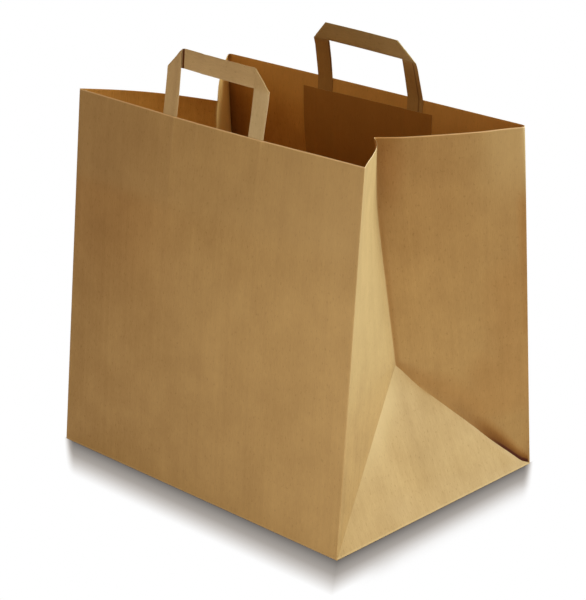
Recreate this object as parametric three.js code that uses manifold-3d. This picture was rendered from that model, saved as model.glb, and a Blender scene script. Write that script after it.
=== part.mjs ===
// Brown kraft paper carrier bag with a block bottom, side gussets folded inwards and two flat paper handles.
// Millimetres, +Z up. The origin is the middle of the base on the surface the bag stands on, +X runs along
// the front panel to the right, and +Y runs from the front panel to the back panel.
import * as THREE from "three";
import { mergeVertices } from "three/addons/utils/BufferGeometryUtils.js";
import Module from "manifold-3d";

// The sheet and the tube that it is folded to
const paperThickness = 0.15;
const panelWidth = 320;
const gussetDepth = 240;
const panelHeight = 305;
const frontLean = 26; // how far the rim of the front panel stands in from its foot
const backLean = 36; // the same on the back panel
const seamWidth = 20; // lengthwise lap of the sheet, on the outside of the back panel
const seamInset = 30; // from the right edge of the back panel to the lap

// The gussets: a crease up the middle, pushed into the bag, above a triangle with folds at 45 degrees
const creaseDepthLow = 50; // how far the crease lies inside the panel edges at the tip of the triangle
const creaseDepthRim = 74; // the same at the rim
const creaseSteps = 8;

// The block bottom: two flaps folded under the base, the back one glued over the front one
const flapOverlap = 30;
const flapLayers = 2;

// The handles: a strip of several layers, turned by a 45 degree fold at each end of the grip
const stripWidth = 16;
const stripThickness = 0.6;
const handleSpan = 112; // outside of one leg to outside of the other
const handleHeight = 53; // from the rim to the top of the grip, along the strip
const handleTilt = 6.5; // degrees that the handle leans in from its panel
const legDrop = 68; // length of a leg below the rim
const layerBond = 0.05; // how deep the grip's layer sinks into the legs' layer at the folds

// The patches that hold the legs against the panels
const patchDrop = 11; // from the rim down to the patch
const patchFoot = 10; // how far the patch reaches below the legs
const patchMargin = 16; // how far the patch reaches past the legs on each side
const channelSlope = 1.5; // width over which the patch comes down beside a leg
const glueGap = 0.3; // between pieces that are glued face to face

// Paper colours
const bodyColour = 0xb58b55;
const handleColour = 0xa98050;
const patchColour = 0x9a6a38;
const paperRoughness = 0.88;

const halfWidth = panelWidth / 2;
const halfDepth = gussetDepth / 2;
const baseLevel = flapLayers * paperThickness;
const creaseLength = panelHeight - halfDepth;
const handleAngle = THREE.MathUtils.degToRad(handleTilt);

const wasm = await Module();
wasm.setup();

// A closed geometry as a solid that can be joined and cut.
function toSolid(geometry) {
  const bare = geometry.clone();
  bare.deleteAttribute("normal");
  bare.deleteAttribute("uv");
  const merged = mergeVertices(bare);
  const vertProperties = new Float32Array(merged.attributes.position.array);
  const triVerts = new Uint32Array(merged.index.array);
  return new wasm.Manifold(new wasm.Mesh({ numProp: 3, vertProperties, triVerts }));
}

function toGeometry(solid) {
  const mesh = solid.getMesh();
  const geometry = new THREE.BufferGeometry();
  geometry.setAttribute("position", new THREE.BufferAttribute(mesh.vertProperties, 3));
  geometry.setIndex(new THREE.BufferAttribute(mesh.triVerts, 1));
  geometry.computeVertexNormals();
  return geometry;
}

function paperPiece(name, geometry, color) {
  const material = new THREE.MeshStandardMaterial({ color, roughness: paperRoughness, metalness: 0 });
  const mesh = new THREE.Mesh(geometry, material);
  mesh.name = name;
  return mesh;
}

// An outline in the plane of Y and Z, carried along +X.
function extrudeAlongX(outline, length) {
  const shape = new THREE.Shape(outline);
  const geometry = new THREE.ExtrudeGeometry(shape, { depth: length, bevelEnabled: false });
  const alongX = new THREE.Matrix4().makeBasis(
    new THREE.Vector3(0, 1, 0),
    new THREE.Vector3(0, 0, 1),
    new THREE.Vector3(1, 0, 0),
  );
  return geometry.applyMatrix4(alongX);
}

// Triangles of the sheet between two lines of points, which run upwards with the second line to the right.
function ruled(left, right) {
  const triangles = [];
  for (let i = 0; i + 1 < left.length; i += 1) {
    triangles.push([left[i], right[i], right[i + 1]]);
    triangles.push([left[i], right[i + 1], left[i + 1]]);
  }
  return triangles;
}

function sheetGeometry(triangles) {
  const geometry = new THREE.BufferGeometry().setFromPoints(triangles.flat());
  return mergeVertices(geometry);
}

// Gives an open sheet its thickness on the inner side. Each inner point lies one thickness behind all the
// faces that meet at its outer point, and the free edges are closed with a cut edge.
function thicken(sheet, thickness) {
  const softness = 1e-6; // settles points whose faces all lie in one plane
  const positions = sheet.attributes.position;
  const index = Array.from(sheet.index.array);
  const outer = [];
  const systems = [];
  const pulls = [];
  for (let i = 0; i < positions.count; i += 1) {
    outer.push(new THREE.Vector3().fromBufferAttribute(positions, i));
    systems.push(new THREE.Matrix3().multiplyScalar(softness));
    pulls.push(new THREE.Vector3());
  }
  const directed = new Set();
  for (let i = 0; i < index.length; i += 3) {
    const corners = index.slice(i, i + 3);
    const [a, b, c] = corners;
    const normal = new THREE.Triangle(outer[a], outer[b], outer[c]).getNormal(new THREE.Vector3());
    const { x, y, z } = normal;
    const square = [x * x, x * y, x * z, x * y, y * y, y * z, x * z, y * z, z * z];
    for (const corner of corners) {
      for (let k = 0; k < square.length; k += 1) {
        systems[corner].elements[k] += square[k];
      }
      pulls[corner].addScaledVector(normal, -thickness);
    }
    directed.add(`${a} ${b}`).add(`${b} ${c}`).add(`${c} ${a}`);
  }
  const inner = outer.map((point, i) => pulls[i].clone().applyMatrix3(systems[i].invert()).add(point));
  const triangles = [];
  for (let i = 0; i < index.length; i += 3) {
    const [a, b, c] = index.slice(i, i + 3);
    triangles.push([outer[a], outer[b], outer[c]], [inner[c], inner[b], inner[a]]);
  }
  for (const edge of directed) {
    const [a, b] = edge.split(" ").map(Number);
    if (!directed.has(`${b} ${a}`)) {
      triangles.push([outer[b], outer[a], inner[a]], [outer[b], inner[a], inner[b]]);
    }
  }
  return sheetGeometry(triangles);
}

// One upright edge of a panel, from its foot to the rim, with a point at each level of the gusset crease.
function panelEdge(sideX, sideY, lean) {
  const foot = new THREE.Vector3(sideX * halfWidth, sideY * halfDepth, baseLevel);
  const rise = Math.sqrt(panelHeight ** 2 - lean ** 2);
  const rim = foot.clone().add(new THREE.Vector3(0, -sideY * lean, rise));
  const points = [foot];
  for (let i = 0; i <= creaseSteps; i += 1) {
    const along = halfDepth + (creaseLength * i) / creaseSteps;
    points.push(foot.clone().lerp(rim, along / panelHeight));
  }
  return points;
}

// The crease up the middle of a gusset, from the tip of the base triangle to the rim. It comes in quickly at
// first and is upright at the rim, and each step keeps its length along the paper.
function gussetCrease(sideX) {
  const tipRise = Math.sqrt(halfDepth ** 2 - creaseDepthLow ** 2);
  const points = [new THREE.Vector3(sideX * (halfWidth - creaseDepthLow), 0, baseLevel + tipRise)];
  const step = creaseLength / creaseSteps;
  for (let i = 1; i <= creaseSteps; i += 1) {
    const share = i / creaseSteps;
    const depth = creaseDepthLow + (creaseDepthRim - creaseDepthLow) * (1 - (1 - share) ** 2);
    const below = points[i - 1];
    const x = sideX * (halfWidth - depth);
    const y = ((frontLean - backLean) / 2) * share;
    const rise = Math.sqrt(step ** 2 - (x - below.x) ** 2 - (y - below.y) ** 2);
    points.push(new THREE.Vector3(x, y, below.z + rise));
  }
  return points;
}

// The outside of the folded tube and its base, as one sheet that is open at the rim.
function foldedSheet() {
  const frontLeft = panelEdge(-1, -1, frontLean);
  const frontRight = panelEdge(1, -1, frontLean);
  const backRight = panelEdge(1, 1, backLean);
  const backLeft = panelEdge(-1, 1, backLean);
  const rightCrease = gussetCrease(1);
  const leftCrease = gussetCrease(-1);
  const gusset = (first, crease, second) => [
    [first[0], second[0], crease[0]],
    [first[0], crease[0], first[1]],
    [crease[0], second[0], second[1]],
    ...ruled(first.slice(1), crease),
    ...ruled(crease, second.slice(1)),
  ];
  return sheetGeometry([
    ...ruled(frontLeft, frontRight),
    ...gusset(frontRight, rightCrease, backRight),
    ...ruled(backRight, backLeft),
    ...gusset(backLeft, leftCrease, frontLeft),
    [frontLeft[0], backLeft[0], backRight[0]],
    [frontLeft[0], backRight[0], frontRight[0]],
  ]);
}

// A flap of the block bottom: folds at 45 degrees from both ends of its panel's foot, cut past the middle of
// the base. sideY is -1 for the front flap and 1 for the back flap, which lies one layer lower.
function baseFlap(sideY, layers) {
  const bite = paperThickness / 2; // joins the flap to the base
  const foldInset = paperThickness; // the fold at the foot is round
  const thickness = layers * paperThickness;
  const reach = halfDepth + flapOverlap / 2;
  const fold = new THREE.Shape([
    new THREE.Vector2(-halfWidth, 0),
    new THREE.Vector2(halfWidth, 0),
    new THREE.Vector2(0, halfWidth),
  ]);
  const depth = thickness + bite;
  const folded = new THREE.ExtrudeGeometry(fold, { depth, bevelEnabled: false });
  const strip = new THREE.BoxGeometry(panelWidth, reach - foldInset, 4 * depth);
  strip.translate(0, (reach + foldInset) / 2, 0);
  const flap = toGeometry(toSolid(folded).intersect(toSolid(strip)));
  const turned = sideY < 0 ? 0 : Math.PI;
  flap.translate(0, -halfDepth, baseLevel - thickness);
  return toSolid(flap.applyMatrix4(new THREE.Matrix4().makeRotationZ(turned)));
}

// The second layer of the lengthwise lap, standing on the outside of the back panel.
function lapSeam() {
  const bite = paperThickness / 2; // joins the lap to the panel
  const lap = new THREE.BoxGeometry(seamWidth, paperThickness + bite, panelHeight);
  lap.translate(halfWidth - seamInset - seamWidth / 2, (paperThickness - bite) / 2, panelHeight / 2);
  lap.rotateX(Math.asin(backLean / panelHeight));
  lap.translate(0, halfDepth, baseLevel);
  return toSolid(lap);
}

function bagBody() {
  const shell = toSolid(thicken(foldedSheet(), paperThickness));
  const flaps = baseFlap(-1, 1).add(baseFlap(1, flapLayers));
  const body = shell.add(flaps).add(lapSeam());
  return paperPiece("bag_body", toGeometry(body), bodyColour);
}

// The handle and the patch are drawn in their panel's own frame: X along the rim, Y from the panel's outer
// face into the bag, and Z up the panel from the rim.
const legFace = paperThickness + glueGap;
const legCentre = (handleSpan - stripWidth) / 2;

// One strip of paper: two legs, bent in a little at the rim, and the grip behind them. The strip turns by
// lying over itself at a 45 degree fold, which cuts off the outer corner.
function handleGeometry() {
  const bendInset = stripThickness * Math.tan(handleAngle / 2);
  const origin = new THREE.Vector2();
  const top = new THREE.Vector2(0, handleHeight).rotateAround(origin, -handleAngle);
  const across = new THREE.Vector2(stripThickness, 0).rotateAround(origin, -handleAngle);
  const legOutline = [
    new THREE.Vector2(legFace, -legDrop),
    new THREE.Vector2(legFace + stripThickness, -legDrop),
    new THREE.Vector2(legFace + stripThickness, -bendInset),
    new THREE.Vector2(legFace + top.x + across.x, top.y + across.y),
    new THREE.Vector2(legFace + top.x, top.y),
    new THREE.Vector2(legFace, 0),
  ];
  const leaning = new THREE.Matrix4().makeTranslation(0, legFace, 0);
  leaning.multiply(new THREE.Matrix4().makeRotationX(-handleAngle));
  const gripDepth = stripThickness + layerBond;
  const grip = new THREE.BoxGeometry(handleSpan, gripDepth, stripWidth);
  grip.translate(0, stripThickness - layerBond + gripDepth / 2, handleHeight - stripWidth / 2);
  let handle = toSolid(grip.applyMatrix4(leaning));
  for (const side of [-1, 1]) {
    const leg = extrudeAlongX(legOutline, stripWidth);
    leg.translate(side * legCentre - stripWidth / 2, 0, 0);
    handle = handle.add(toSolid(leg));
  }
  const cornerSize = stripWidth * Math.SQRT2;
  const cutDepth = 6 * stripThickness; // past both faces of the folded strip
  for (const side of [-1, 1]) {
    const corner = new THREE.BoxGeometry(cornerSize, cutDepth, cornerSize);
    corner.rotateY(Math.PI / 4);
    corner.translate((side * handleSpan) / 2, stripThickness, handleHeight);
    handle = handle.subtract(toSolid(corner.applyMatrix4(leaning)));
  }
  return toGeometry(handle);
}

// A sheet glued to the panel, raised over the two legs.
function patchGeometry() {
  const low = paperThickness + glueGap;
  const high = legFace + stripThickness + glueGap;
  const channelHalf = stripWidth / 2 + glueGap;
  const halfPatch = handleSpan / 2 + patchMargin;
  const section = [new THREE.Vector2(-halfPatch, low)];
  for (const centre of [-legCentre, legCentre]) {
    section.push(new THREE.Vector2(centre - channelHalf - channelSlope, low));
    section.push(new THREE.Vector2(centre - channelHalf, high));
    section.push(new THREE.Vector2(centre + channelHalf, high));
    section.push(new THREE.Vector2(centre + channelHalf + channelSlope, low));
  }
  section.push(new THREE.Vector2(halfPatch, low));
  const upper = section.map((point) => new THREE.Vector2(point.x, point.y + paperThickness)).reverse();
  const patchHeight = legDrop + patchFoot - patchDrop;
  const shape = new THREE.Shape([...section, ...upper]);
  const patch = new THREE.ExtrudeGeometry(shape, { depth: patchHeight, bevelEnabled: false });
  return patch.translate(0, 0, -patchDrop - patchHeight);
}

// A handle with its patch on one panel. turn is 0 for the front panel and half a turn for the back panel.
function handleSet(name, lean, turn) {
  const panel = new THREE.Group();
  const rise = Math.sqrt(panelHeight ** 2 - lean ** 2);
  panel.position.set(0, lean - halfDepth, baseLevel + rise);
  panel.rotation.x = -Math.asin(lean / panelHeight);
  panel.add(paperPiece(`${name}_handle`, handleGeometry(), handleColour));
  panel.add(paperPiece(`${name}_handle_patch`, patchGeometry(), patchColour));
  const side = new THREE.Group();
  side.rotation.z = turn;
  side.add(panel);
  return side;
}

const bag = new THREE.Group();
bag.add(bagBody());
bag.add(handleSet("front", frontLean, 0));
bag.add(handleSet("rear", backLean, Math.PI));

export default bag;
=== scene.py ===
# %% [markdown]
# # A brown kraft paper carrier bag
#
# The real bag is one sheet of brown paper, creased into a tube with a block bottom, and two handles of
# flat paper strip that are glued inside the rim under a patch. The solids of the part already have the
# folds and the sizes. Here every piece gets the shape that paper takes when a flat bag is opened by hand:
# rounded folds, panels that swell a little, a rim that is not quite true, and paper that shows its
# fibres.

# %% The frame
import math
from types import SimpleNamespace

import bmesh
import bpy
import numpy as np
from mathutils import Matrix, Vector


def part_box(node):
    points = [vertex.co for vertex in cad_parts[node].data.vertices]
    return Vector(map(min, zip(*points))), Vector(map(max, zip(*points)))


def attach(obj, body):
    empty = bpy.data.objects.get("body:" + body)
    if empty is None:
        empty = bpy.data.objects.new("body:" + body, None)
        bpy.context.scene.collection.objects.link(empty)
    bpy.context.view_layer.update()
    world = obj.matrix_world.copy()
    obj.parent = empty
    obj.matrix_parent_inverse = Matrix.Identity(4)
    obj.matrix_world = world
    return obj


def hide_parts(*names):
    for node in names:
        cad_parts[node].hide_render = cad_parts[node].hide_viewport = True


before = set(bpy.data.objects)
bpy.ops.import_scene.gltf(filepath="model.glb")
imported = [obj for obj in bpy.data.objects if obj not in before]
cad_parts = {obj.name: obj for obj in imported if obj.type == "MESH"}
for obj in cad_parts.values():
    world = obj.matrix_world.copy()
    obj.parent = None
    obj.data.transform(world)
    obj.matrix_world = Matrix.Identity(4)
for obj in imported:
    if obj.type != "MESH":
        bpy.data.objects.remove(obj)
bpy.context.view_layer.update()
MM = 0.001

# %% [markdown]
# ## The camera
#
# A camera can be placed by eye, but a box-shaped thing allows better: its corners in the photograph fix
# the place, the direction and the focal length together. The values below come from such a fit. The
# camera stands a metre and a half away, to the right of the front panel, and looks down by about twenty
# degrees.

# %% Camera
image_height = 600
focal_pixels = 1891.8
camera_place = np.array([1016.2, -1064.7, 688.0]) * MM
camera_turn = math.radians(43.73)
camera_dip = math.radians(20.503)
camera_roll = math.radians(-0.238)


def look_matrix(place, turn, dip, roll):
    """Columns right, up and back of a camera that is turned from +Y, dipped and then rolled, and its
    place."""
    ahead = np.array([-math.sin(turn) * math.cos(dip), math.cos(turn) * math.cos(dip), -math.sin(dip)])
    level = np.array([math.cos(turn), math.sin(turn), 0.0])
    down = np.cross(ahead, level)
    right = math.cos(roll) * level + math.sin(roll) * down
    below = -math.sin(roll) * level + math.cos(roll) * down
    matrix = np.eye(4)
    matrix[:3, 0] = right
    matrix[:3, 1] = -below
    matrix[:3, 2] = -ahead
    matrix[:3, 3] = place
    return matrix


camera_data = bpy.data.cameras.new("camera")
camera_data.sensor_fit = "VERTICAL"
camera_data.sensor_height = 36.0
camera_data.lens = focal_pixels * camera_data.sensor_height / image_height
camera = bpy.data.objects.new("camera", camera_data)
bpy.context.scene.collection.objects.link(camera)
camera.matrix_world = look_matrix(camera_place, camera_turn, camera_dip, camera_roll).T.tolist()
bpy.context.scene.camera = camera
print("lens", round(camera_data.lens, 1), "mm")

# %% [markdown]
# ## The sheet as a map
#
# All of the bag's body is one sheet, so it is drawn as one map from flat paper to space. u runs around
# the tube, starting at the front left corner: front panel, right gusset, back panel, left gusset. v runs
# up the paper from the base fold to the rim. Modelling each panel as its own plane would be quicker, but
# one map keeps the folds shared, the paper continuous, and the grain of the paper running through all of
# it.

# %% Sizes of the sheet
panel_width = 320 * MM
gusset_depth = 240 * MM
half_gusset = gusset_depth / 2
panel_height = 305 * MM
paper = 0.15 * MM
girth = 2 * (panel_width + gusset_depth)
base_level = 2 * paper
body_low, body_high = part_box("bag_body")
print("sheet", girth, "m around, solid", [round(b - a, 4) for a, b in zip(body_low, body_high)])


# %% [markdown]
# ## Corners and creases
#
# A paper bag that was opened by hand stands a few millimetres out of true. Each corner fold therefore has
# its own foot and its own place at the rim. The crease of a gusset leaves the tip of the base triangle,
# runs into the bag in a straight line, and turns upright in the upper half, where the handles and the
# patches keep the panels stiff.

# %% Corner folds
def corner(foot_x, foot_y, rim_x, rim_y, rim_z):
    """Foot and rim end of one corner fold, from millimetres."""
    return np.array([foot_x * MM, foot_y * MM, base_level]), np.array([rim_x, rim_y, rim_z]) * MM


front_left = corner(-158.6, -120.8, -158.6, -91.5, 306.1)
front_right = corner(160.0, -120.2, 158.5, -94.5, 305.1)
back_right = corner(160.8, 120.2, 163.9, 86.8, 301.3)
back_left = corner(-160.0, 120.0, -160.4, 81.5, 306.9)


def dying(distance, reach):
    """1 at a distance of 0, less and less beyond: exp(-distance / reach)."""
    return np.exp(-distance / reach)


open_fold_reach = 60 * MM
open_fold_flare = np.array([2.2, 1.0, 0.0]) * MM


def fold_line(ends, v):
    """A corner fold is straight: foot + (rim - foot) * v / panel_height. The one at the back right opens
    towards the rim, so its sharp line, which the rounding cuts back again, moves out there."""
    foot, rim = ends
    line = foot + (rim - foot) * (v / panel_height)[..., None]
    if ends is back_right:
        line = line + open_fold_flare * dying(panel_height - v, open_fold_reach)[..., None]
    return line


corner_lip = np.array([0.9, 0.45, 0.0]) * MM
lip_down = 40 * MM
lip_beside = 25 * MM
corner_bow = np.array([-4.2, -3.7, 0.0]) * MM
bow_beside = 30 * MM
bow_power = 0.8


def fold_shift(ends, away, v):
    """Moves of the two back folds that die out beside them. At the back right the rim turns out as a lip.
    At the back left the fold bows out by sin(pi * below_rim ** bow_power), most at about half its height."""
    below_rim = np.clip(1 - v / panel_height, 0, 1)
    if ends is back_right:
        return corner_lip * (dying(below_rim * panel_height, lip_down) * dying(away, lip_beside))[..., None]
    if ends is back_left:
        return corner_bow * (np.sin(np.pi * below_rim**bow_power) * dying(away, bow_beside))[..., None]
    return np.zeros(3)


print("front left fold", [end.round(4).tolist() for end in front_left])

# %% Gusset creases, with 1 for the right side and -1 for the left
tips = {1: np.array([110.9, 0.0, 111.3]) * MM, -1: np.array([-110.9, 0.0, 111.3]) * MM}
crease_depth = {1: 70.6 * MM, -1: 72.5 * MM}
crease_top = {1: 295.2 * MM, -1: 292.8 * MM}
crease_slope = {1: 0.168, -1: 0.175}
crease_knee = 2.5 * MM
crease_forward = 4.0 * MM
crease_dip = 2.6 * MM
dip_reach = 8 * MM


def crease_line(side, v):
    """The gusset crease above the tip: it goes in along a slope, a soft minimum stops it at a full depth,
    and the last millimetres below the rim dip in a little more."""
    tip_x, _, tip_z = tips[side]
    full_depth = crease_depth[side]
    rise = np.clip((v - half_gusset) / (panel_height - half_gusset), 0, 1)
    z = tip_z + (crease_top[side] - tip_z) * rise
    sloping = panel_width / 2 - abs(tip_x) + crease_slope[side] * (z - tip_z)
    depth = (sloping + full_depth - np.sqrt((sloping - full_depth) ** 2 + crease_knee**2)) / 2
    depth = depth + crease_dip * dying(panel_height - v, dip_reach)
    return np.stack([side * (panel_width / 2 - depth), -crease_forward * rise, z], axis=-1)


print("crease at the rim", crease_line(1, np.array([panel_height])).round(4).tolist())


# %% [markdown]
# ## How the paper swells
#
# A sheet that is folded and opened again is never flat. The panels swell by a few millimetres, the paper
# beside a crease arches because it resists the fold, and small waves, which paper makers call cockle, run
# through it. Each of these is a height over the flat panel that dies out at the folds, so neighbouring
# panels still meet.

# %% Forms that the heights are made of
def bump(x, peak):
    """Rises from 0 to 1 at the peak and dies out slowly: (x / peak) * exp(1 - x / peak)."""
    ratio = np.clip(x, 0, None) / peak
    return ratio * np.exp(1 - ratio)


def ramp(x, width):
    """Goes from 0 to 1 in a straight line over a width, and stays there."""
    return np.clip(x / width, 0, 1)


def smooth_step(x, start, end):
    """Goes from 0 at start to 1 at end: t * t * (3 - 2 t)."""
    t = np.clip((x - start) / (end - start), 0, 1)
    return t * t * (3 - 2 * t)


def bell(x, width):
    """1 at 0 and 0 far away on both sides: exp(-(x / width) ** 2)."""
    return np.exp(-((x / width) ** 2))


def plateau(x, half, soft):
    """1 where |x| is under half, 0 outside, with a smooth slope of width soft."""
    return 0.5 * (np.tanh((x + half) / soft) - np.tanh((x - half) / soft))


def cockle(u, v, size):
    """Small waves of the paper: four sines that cross at odd angles, of a height of about one size."""
    waves = (
        np.sin(u / (17 * MM) + v / (41 * MM) + 0.7)
        + np.sin(u / (29 * MM) - v / (23 * MM) + 2.1)
        + np.sin(u / (11 * MM) + v / (63 * MM) + 4.0)
        + 1.6 * np.sin(u / (53 * MM) + v / (37 * MM) + 5.2)
    )
    return size * waves / 2.5


print("cockle of 1 mm at a corner:", round(float(cockle(0.0, 0.0, 1.0)), 2), "mm")

# %% Front and back panels
leg_centre = 48 * MM
strip_width = 16 * MM
leg_drop = 68 * MM
stiff_from = panel_height - leg_drop
leg_relief = 0.16 * MM
leg_edge_soft = 0.8 * MM
leg_end_soft = 3 * MM


def leg_print(x, v):
    """The legs of a handle show through the panel as two faint raised strips below the rim."""
    strips = plateau(np.abs(x) - leg_centre, strip_width / 2, leg_edge_soft)
    return leg_relief * strips * plateau(v - panel_height, leg_drop, leg_end_soft)


panel_cockle = 0.22 * MM
wrinkle_width = 2.6 * MM
bend_round = 1.6


def wide_panel(s, v, first, second, outward, swell, bend, rim_bow, rim_sag, wrinkles):
    """Front or back panel, s along and v up it: straight rulings between two corner folds, plus its
    heights along outward. The bend is the height of a soft ridge, or hollow, at the foot of the stiff
    zone that the handle makes below the rim, and the rim hangs by rim_sag in its middle."""
    x = s / panel_width
    y = v / panel_height
    across = np.sin(np.pi * x)
    flat = fold_line(first, v) + (fold_line(second, v) - fold_line(first, v)) * x[..., None]
    flat = flat + fold_shift(first, s, v) + fold_shift(second, panel_width - s, v)
    flat = flat - np.array([0.0, 0.0, rim_sag]) * (across**2 * y**4)[..., None]
    inside = across * np.sin(np.pi * y)
    height = swell * inside + rim_bow * across * y**3
    tent = np.minimum(v / stiff_from, (panel_height - v) / leg_drop)
    tent = np.tanh(bend_round * tent) / np.tanh(bend_round)
    height = height + bend * np.sqrt(np.clip(across, 0, 1)) * tent
    height = height + cockle(s, v, panel_cockle) * np.sqrt(np.clip(inside, 0, 1))
    height = height + leg_print(s - panel_width / 2, v)
    for place, reach, ridge in wrinkles:
        ridge_line = bell(s - panel_width / 2 - place, wrinkle_width)
        height = height + ridge * ridge_line * bell(panel_height - v, reach)
    return flat + outward * height[..., None]


print("handles stiffen the panels from", round(stiff_from, 4), "m up")


# %% [markdown]
# ## The gussets
#
# A gusset is two halves and, at the foot, a triangle that leans against the goods. Folds at 45 degrees
# part them, which on flat paper are the lines where the distance from the panel's edge equals the height.
# Above such a line a point lies on a straight ruling from the corner fold to the crease, and below it on
# the triangle. Each half and the triangle have their own soft forms, as heights over these plain shapes.

# %% Heights of the gusset halves
def arch(x, power):
    """An arch from 0 at the corner fold to 0 at the crease. A power over 1 moves its top towards the
    crease: sin(pi * x ** power)."""
    return np.sin(np.pi * np.clip(x, 0, 1) ** power)


def low_down(v):
    """1 at the foot, falling in a straight line to 0 at the height of the tip."""
    return np.clip(1 - v / half_gusset, 0, 1)


def right_near_height(a, v, over_fold):
    """Right gusset, half beside the front panel: a lip at the rim, a slight arch beside the crease, and a
    hollow above the 45 degree fold."""
    x = a / half_gusset
    lip = 3.9 * MM * arch(x, 1.5) * dying(panel_height - v, 20 * MM)
    beside_crease = 0.7 * MM * arch(x, 3)
    hollow = 0.7 * MM * bump(over_fold, 8 * MM) * low_down(v)
    return lip + beside_crease - hollow


def right_far_height(a, v, over_fold):
    """Right gusset, half beside the back panel: an arch with a flat top that grows to the rim, a faint
    level ridge above the tip, and above the 45 degree fold a pocket at its foot and a long soft slope."""
    x = a / half_gusset
    from_rim = panel_height - v
    swell = 3.2 * MM * arch(x, 1.2) * dying(from_rim, 75 * MM) + 0.5 * MM * arch(x, 3)
    flat_top = smooth_step(a, 14 * MM, 40 * MM) * (1 - smooth_step(a, 95 * MM, 120 * MM))
    flat_top = 2.0 * MM * flat_top * dying(from_rim, 60 * MM)
    level_ridge = bell(v - 117 * MM, 3 * MM) * plateau(a, 52 * MM, 10 * MM)
    level_ridge = 0.28 * MM * level_ridge * ramp(a, 4 * MM)
    pocket = 1.3 * MM * bump(over_fold, 4 * MM) * bump(v, 16 * MM)
    slope = 1.2 * MM * bump(over_fold, 14 * MM) * bump(v, 32 * MM) * low_down(v)
    return swell + flat_top + level_ridge - (pocket + slope) * ramp(a, 6 * MM)


def left_heights(a, v):
    """Left gusset, both halves: arches that grow to the rim, the near one the larger."""
    x = a / half_gusset
    from_rim = panel_height - v
    near_height = 9.0 * MM * arch(x, 1) * dying(from_rim, 110 * MM)
    far_height = 2.5 * MM * arch(x, 1) * dying(from_rim, 90 * MM) + 0.6 * MM * arch(x, 3)
    return near_height, far_height


def fold_sag(t):
    """How far the 45 degree fold of the far half, at the right, hangs below a straight line, t along it
    from its foot: one depth between two soft ends, and a little more near the foot."""
    ends = smooth_step(t, 0.0, 10 * MM) * (1 - smooth_step(t, 98 * MM, 121 * MM))
    return ends * (3.5 * MM + 0.9 * MM * bell(t - 36 * MM, 14 * MM))


half_cockle = 0.25 * MM
side_phase = 0.37
calm_beside_fold = 6 * MM
flat_beside_fold = 4 * MM
sag_reach = 45 * MM
out_x, out_y = 0.77, 0.64
upwards = np.array([0.0, 0.0, 1.0])


def half_heights(side, near, a, v):
    """Moves of a gusset half off its rulings, with a the distance from its corner fold: its height
    outwards, the cockle, and on the far half at the right the sag of the 45 degree fold."""
    over_fold = np.where(v < half_gusset, v - a, np.minimum(half_gusset - a, v - a)) / math.sqrt(2)
    fade = ramp(over_fold, calm_beside_fold) * np.sqrt(np.clip(np.sin(np.pi * a / half_gusset), 0, 1))
    waves = cockle(a + side_phase * side, v, half_cockle) * fade
    if side > 0:
        near_height = right_near_height(a, v, over_fold)
        far_height = right_far_height(a, v, over_fold)
    else:
        near_height, far_height = left_heights(a, v)
    reach = ramp(over_fold, flat_beside_fold)
    near_out = np.array([out_x * side, out_y, 0.0])
    far_out = np.array([out_x * side, -out_y, 0.0])
    near_move = near_out * (near_height * reach + waves)[..., None]
    far_move = far_out * (far_height * np.where(v < half_gusset, 1, reach) + waves)[..., None]
    if side > 0:
        far_move = far_move - upwards * (fold_sag(a) * dying(v - a, sag_reach))[..., None]
    return np.where(near[..., None], near_move, far_move)


print("sag of the right fold", round(float(fold_sag(half_gusset / 2)), 4), "m in its middle")

# %% Heights of the base triangles
triangle_cockle = 0.4 * MM
triangle_sag_reach = 26 * MM
triangle_lean = 0.91, 0.42


def triangle_heights(side, near, a, v):
    """A slight hollow and soft dents of the base triangle, and a lip beside the far fold. All vanish at
    its folds, and at the right the triangle follows the sag of the far fold."""
    under_fold = np.clip((a - v) / math.sqrt(2), 0, None)
    inside = ramp(under_fold, 14 * MM) * ramp(v, 14 * MM)
    dents = cockle(np.where(near, a, gusset_depth - a) * 1.3, v * 1.7 + 0.11, triangle_cockle)
    across = np.clip(under_fold * math.sqrt(2) / np.maximum(half_gusset - v, 1 * MM), 0, 1)
    hollow = -2.2 * MM * across * (2 - across) * low_down(v)
    lip = 0.9 * MM * bump(under_fold, 3 * MM) * (1 - near) * bump(v, 16 * MM)
    out = np.array([triangle_lean[0] * side, 0.0, triangle_lean[1]])
    move = out * (dents * inside + (hollow + lip) * ramp(v, 22 * MM))[..., None]
    if side > 0:
        from_far_fold = (np.where(near, gusset_depth - a, a) - v) / math.sqrt(2)
        near_fold = np.where(near, ramp(under_fold, 12 * MM), 1.0)
        sag = fold_sag(v) * dying(from_far_fold, triangle_sag_reach) * near_fold
        move = move - upwards * sag[..., None]
    return move


# %% Gusset map
tiny = 1e-9


def gusset(side, q, v):
    """q runs from the front corner fold across the gusset to the back one, and the crease is in its
    middle."""
    near_ends, far_ends = (front_right, back_right) if side > 0 else (front_left, back_left)
    tip = tips[side]
    near = (q <= half_gusset)[..., None]
    a = np.minimum(q, gusset_depth - q)
    corner_point = np.where(near, fold_line(near_ends, v), fold_line(far_ends, v))
    foot = np.where(near, near_ends[0], far_ends[0])
    low = (v / half_gusset)[..., None]
    inner = np.where(low < 1, foot + (tip - foot) * low, crease_line(side, v))
    share = a / np.maximum(np.minimum(v, half_gusset), tiny)
    half = corner_point + (inner - corner_point) * np.clip(share, 0, 1)[..., None]
    half = half + np.where(near, 0.0, fold_shift(far_ends, a, v)) * np.clip(1 - share, 0, 1)[..., None]
    half = half + half_heights(side, near[..., 0], a, v)
    middle = (near_ends[0] + far_ends[0]) / 2
    along = (q / gusset_depth)[..., None]
    triangle = near_ends[0] + (far_ends[0] - near_ends[0]) * along + (tip - middle) * low
    triangle = triangle + triangle_heights(side, near[..., 0], a, v)
    return np.where((a > v)[..., None], triangle, half)


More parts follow.
